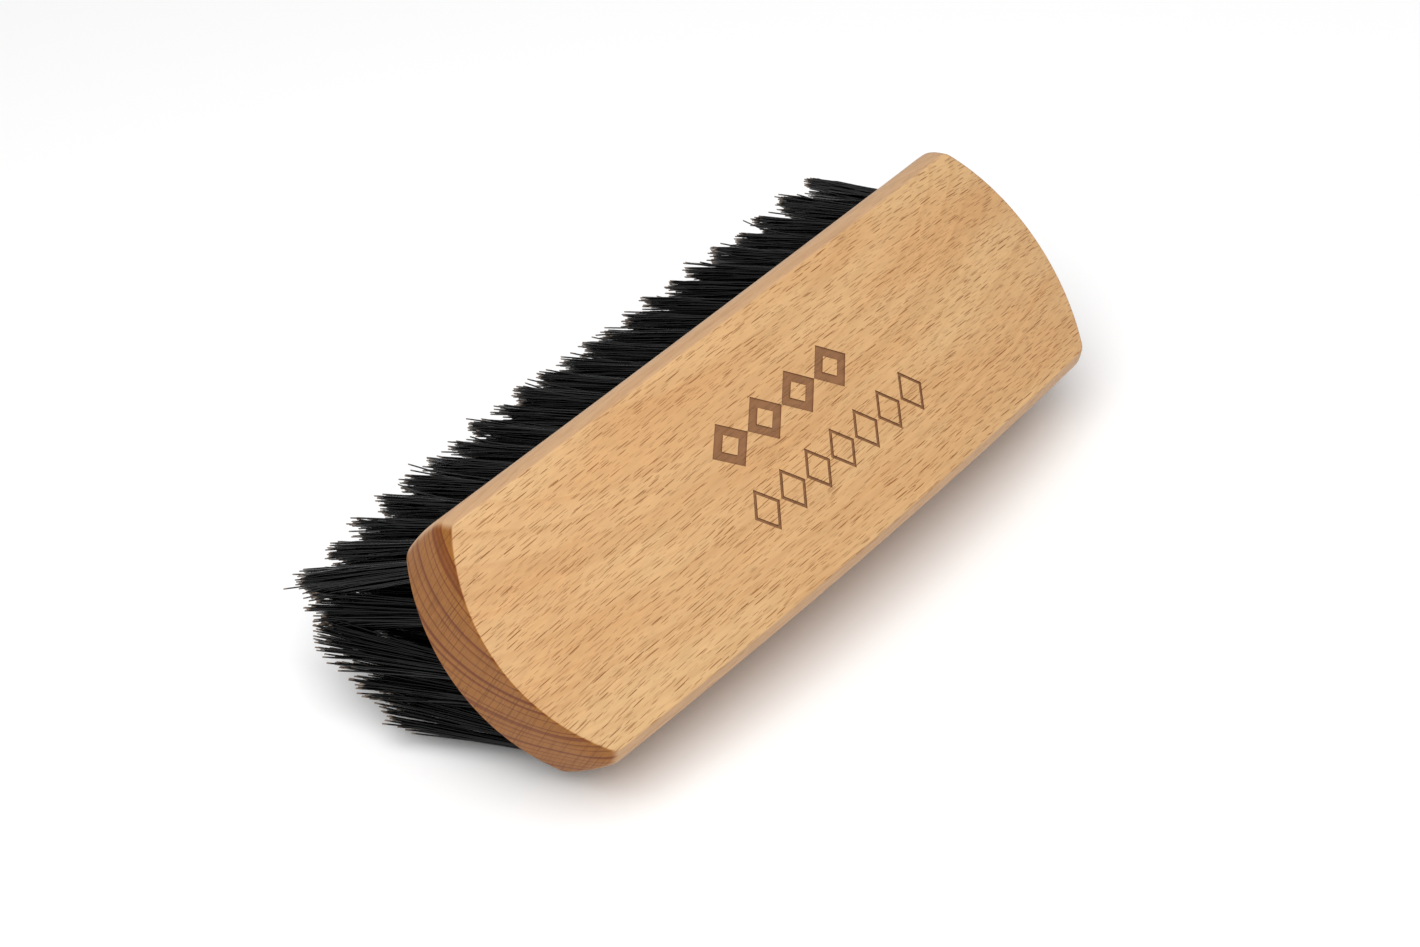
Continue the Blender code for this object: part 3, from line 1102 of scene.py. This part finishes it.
def floor_material():
    material = bpy.data.materials.new("studio_floor")
    material.use_nodes = True
    tree = material.node_tree
    shader = tree.nodes["Principled BSDF"]
    shader.inputs["Base Color"].default_value = (0.93, 0.93, 0.93, 1)
    shader.inputs["Roughness"].default_value = 0.9
    shader.inputs["Specular IOR Level"].default_value = 0.1
    spot = add_node(tree, "ShaderNodeTexCoord").outputs["Object"]
    fade = ramp(tree, vectors(tree, "LENGTH", spot), FADE_STARTS, FLOOR_HALF)
    behind = add_node(tree, "ShaderNodeNewGeometry").outputs["Backfacing"]
    hide = maths(tree, "MAXIMUM", fade, behind)
    clear = add_node(tree, "ShaderNodeBsdfTransparent").outputs[0]
    both = add_node(tree, "ShaderNodeMixShader", {0: hide, 1: shader.outputs[0], 2: clear}).outputs[0]
    tree.links.new(both, tree.nodes["Material Output"].inputs["Surface"])
    return material


def floor_mesh(up, height):
    side = up.cross(Vector((1, 0, 0))).normalized()
    along = side.cross(up).normalized()
    mesh = bpy.data.meshes.new("floor")
    corners = [(-1, -1), (1, -1), (1, 1), (-1, 1)]
    mesh.from_pydata(
        [up * height + along * (a * FLOOR_HALF) + side * (b * FLOOR_HALF) for a, b in corners],
        [],
        [(0, 1, 2, 3)],
    )
    if mesh.polygons[0].normal.dot(up) < 0:
        mesh.flip_normals()
    return mesh


standing = [wood_block, *bristle_rows]
lowest = min(vertex.co.dot(FLOOR_UP) for piece in standing for vertex in piece.data.vertices)
floor = new_piece("floor", floor_mesh(FLOOR_UP, lowest), floor_material())
print("floor is", round(-lowest * 1000, 1), "mm below the origin")

# %% [markdown]
# ## The light
#
# One large round lamp gives the soft studio light. It hangs between straight above the floor and the
# camera, so its shadow falls beside the brush and stays soft. A white sky fills the shadows, and it is
# stronger where the camera sees it directly, for a plain white background.

# %% Lights
KEY_AIM = FLOOR_UP + CAMERA_BACK * 0.8 - CAMERA_RIGHT * 0.1
KEY_AWAY = 0.9
KEY_SIZE = 0.9
KEY_POWER = 6.9
SKY_FILL = 0.6
SKY_EXTRA_SEEN = 0.45


def soft_light(name, place, size, power):
    data = bpy.data.lights.new(name, "AREA")
    data.shape = "DISK"
    data.size = size
    data.energy = power
    lamp = bpy.data.objects.new(name, data)
    turn = (BRUSH_MIDDLE - place).to_track_quat("-Z", "Y").to_matrix()
    lamp.matrix_world = Matrix.Translation(place) @ turn.to_4x4()
    bpy.context.scene.collection.objects.link(lamp)


soft_light("key", BRUSH_MIDDLE + KEY_AIM.normalized() * KEY_AWAY, KEY_SIZE, KEY_POWER)
world = bpy.data.worlds.new("studio")
bpy.context.scene.world = world
world.use_nodes = True
sky = world.node_tree
seen = add_node(sky, "ShaderNodeLightPath").outputs["Is Camera Ray"]
strength = maths(sky, "MULTIPLY_ADD", seen, SKY_EXTRA_SEEN, SKY_FILL)
sky.links.new(strength, sky.nodes["Background"].inputs["Strength"])
sky.nodes["Background"].inputs["Color"].default_value = (1, 1, 1, 1)
bpy.context.scene.view_settings.view_transform = "Standard"
print("lights ready")
